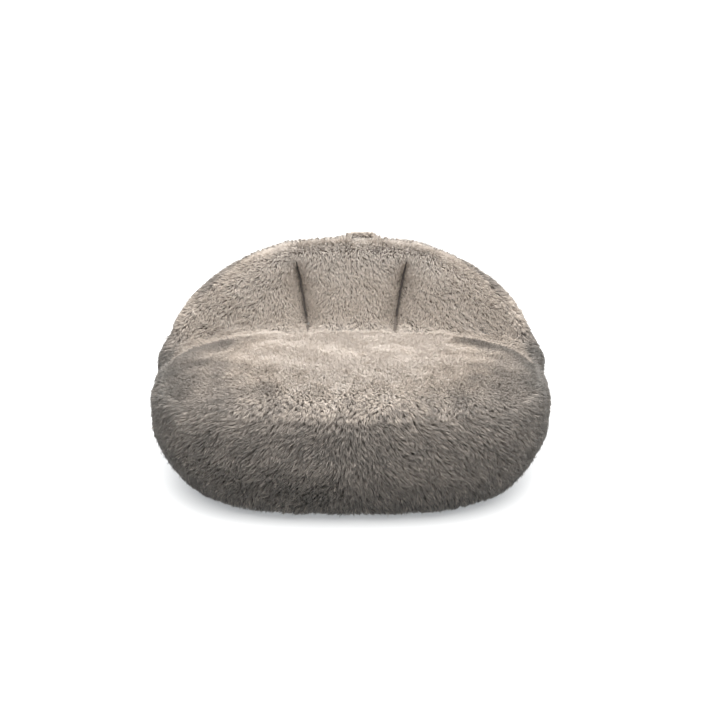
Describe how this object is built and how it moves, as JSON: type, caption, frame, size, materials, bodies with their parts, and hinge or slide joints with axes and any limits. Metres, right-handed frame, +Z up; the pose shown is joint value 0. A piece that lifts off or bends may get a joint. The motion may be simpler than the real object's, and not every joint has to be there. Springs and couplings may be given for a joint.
{
  "type": "bean bag chair",
  "caption": "Low armless bean bag chair in long-pile faux fur, with a puffed seat, a darted backrest, a liner bag of beads and a zip across the rear.",
  "frame": {"origin": "centre of the bounding box on the floor plane, under the seat", "axes": "+Z up, -Y towards the front where the sitter's legs go, +X to the right of someone facing the chair"},
  "size_m": [0.9632, 0.9085, 0.5089],
  "materials": {
    "seat_panel": "long-pile faux fur",
    "back_left_panel": "long-pile faux fur",
    "back_centre_panel": "long-pile faux fur",
    "back_right_panel": "long-pile faux fur",
    "front_wall_panel": "long-pile faux fur",
    "left_wall_panel": "long-pile faux fur",
    "right_wall_panel": "long-pile faux fur",
    "rear_upper_panel": "long-pile faux fur",
    "rear_lower_panel": "long-pile faux fur",
    "base_panel": "matt woven cloth",
    "liner_top": "plain non-woven cloth",
    "liner_wall": "plain non-woven cloth",
    "liner_base": "plain non-woven cloth",
    "bead_fill": "loose expanded beads",
    "left_dart_stitching": "sewing thread",
    "right_dart_stitching": "sewing thread",
    "carry_handle": "strap covered in the same fur",
    "handle_front_stitching": "sewing thread",
    "handle_rear_stitching": "sewing thread",
    "zip_tape_upper": "woven tape",
    "zip_tape_lower": "woven tape",
    "zip_teeth_upper": "nylon coil",
    "zip_teeth_lower": "nylon coil",
    "zip_stop_closed": "plated metal",
    "zip_stop_open": "plated metal",
    "zip_slider": "plated metal",
    "zip_pull": "plated metal",
    "care_label": "blank woven label"
  },
  "bodies": {
    "chair": {"seat_panel": "seat_panel", "back_left_panel": "back_left_panel", "back_centre_panel": "back_centre_panel", "back_right_panel": "back_right_panel", "front_wall_panel": "front_wall_panel", "left_wall_panel": "left_wall_panel", "right_wall_panel": "right_wall_panel", "rear_upper_panel": "rear_upper_panel", "rear_lower_panel": "rear_lower_panel", "base_panel": "base_panel", "liner_top": "liner_top", "liner_wall": "liner_wall", "liner_base": "liner_base", "bead_fill": "bead_fill", "left_dart_stitching": "left_dart_stitching", "right_dart_stitching": "right_dart_stitching", "carry_handle": "carry_handle", "handle_front_stitching": "handle_front_stitching", "handle_rear_stitching": "handle_rear_stitching", "zip_tape_upper": "zip_tape_upper", "zip_tape_lower": "zip_tape_lower", "zip_teeth_upper": "zip_teeth_upper", "zip_teeth_lower": "zip_teeth_lower", "zip_stop_closed": "zip_stop_closed", "zip_stop_open": "zip_stop_open", "care_label": "care_label"},
    "slider": {"zip_slider": "zip_slider"},
    "pull": {"zip_pull": "zip_pull"}
  },
  "joints": [
    {"name": "zip_run", "type": "hinge", "parent": "chair", "child": "slider", "pos_m": [0, -0.84055, 0.15], "axis": [0, 0, 1], "range_deg": [0, 19.3]},
    {"name": "pull_turn", "type": "hinge", "parent": "slider", "child": "pull", "pos_m": [0.21649, 0.42776, 0.15], "axis": [0, 0, 1], "range_deg": [-150, 0]}
  ]
}
